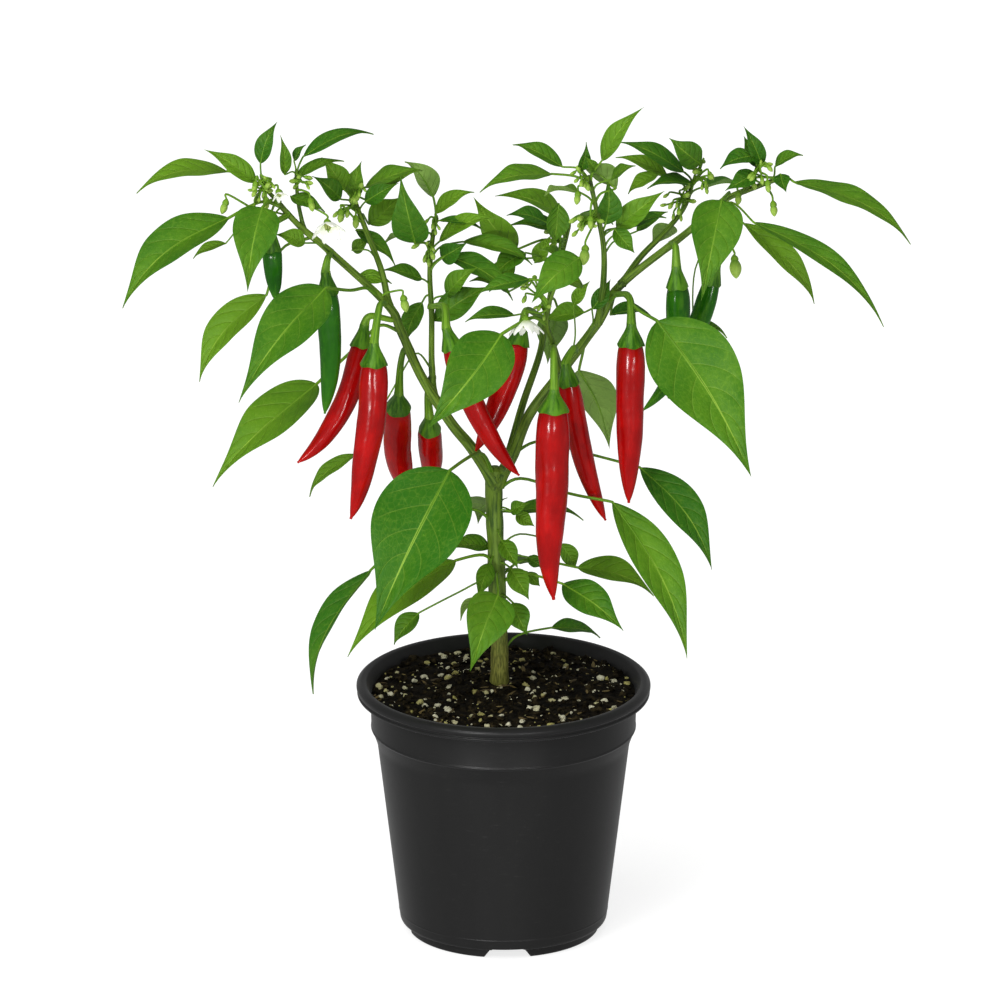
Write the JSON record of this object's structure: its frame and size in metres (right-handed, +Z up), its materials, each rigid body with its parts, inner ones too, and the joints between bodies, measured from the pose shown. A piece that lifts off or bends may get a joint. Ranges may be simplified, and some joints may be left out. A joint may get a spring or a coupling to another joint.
{
  "type": "potted chilli pepper plant",
  "caption": "Chilli pepper plant with ripe red and unripe green pods, leaves and a forked stem, growing in soil in a round black nursery pot that stands freely.",
  "frame": {"origin": "middle of the pot's flat underside, on the pot's axis, where it stands on the ground", "axes": "+Z up along the pot's axis, -Y towards the plant's front, +X to the right seen from the front"},
  "size_m": [0.4274, 0.2013, 0.4837],
  "materials": {
    "pot_plastic": "satin",
    "soil": "matte",
    "green_stem": "satin",
    "leaf_green": "satin",
    "ripe_red": "gloss",
    "unripe_green": "gloss",
    "calyx_green": "satin"
  },
  "bodies": {
    "root": {"leaf_crown_left": "leaf_green", "leaf_crown_right": "leaf_green", "leaf_far_left": "leaf_green", "leaf_far_right": "leaf_green", "leaf_far_right_high": "leaf_green", "leaf_foot_front": "leaf_green", "leaf_foot_right": "leaf_green", "leaf_great_left": "leaf_green", "leaf_great_right": "leaf_green", "leaf_left_behind": "leaf_green", "leaf_left_front": "leaf_green", "leaf_left_hanging": "leaf_green", "leaf_left_inner": "leaf_green", "leaf_left_low": "leaf_green", "leaf_left_small_low": "leaf_green", "leaf_left_top": "leaf_green", "leaf_low_left": "leaf_green", "leaf_low_left_narrow": "leaf_green", "leaf_low_right_back": "leaf_green", "leaf_low_right_front": "leaf_green", "leaf_low_right_great": "leaf_green", "leaf_low_right_high": "leaf_green", "leaf_middle_back": "leaf_green", "leaf_middle_front": "leaf_green", "leaf_middle_high": "leaf_green", "leaf_right_behind": "leaf_green", "leaf_right_front": "leaf_green", "leaf_top_middle": "leaf_green", "leaf_top_middle_back": "leaf_green", "leaf_top_right": "leaf_green", "leaf_upright_left": "leaf_green", "pod_far_left": "ripe_red", "pod_green_far_left": "unripe_green", "pod_green_left": "unripe_green", "pod_green_right": "unripe_green", "pod_green_right_back": "unripe_green", "pod_left_front": "ripe_red", "pod_left_inner": "ripe_red", "pod_middle_back": "ripe_red", "pod_middle_front": "ripe_red", "pod_middle_left": "ripe_red", "pod_middle_left_back": "ripe_red", "pod_middle_right": "ripe_red", "pod_right_front": "ripe_red", "pot": "pot_plastic", "potting_soil": "soil", "stalk_far_left": "calyx_green", "stalk_green_far_left": "calyx_green", "stalk_green_left": "calyx_green", "stalk_green_right": "calyx_green", "stalk_green_right_back": "calyx_green", "stalk_left_front": "calyx_green", "stalk_left_inner": "calyx_green", "stalk_middle_back": "calyx_green", "stalk_middle_front": "calyx_green", "stalk_middle_left": "calyx_green", "stalk_middle_left_back": "calyx_green", "stalk_middle_right": "calyx_green", "stalk_right_front": "calyx_green", "stem": "green_stem"}
  },
  "joints": []
}
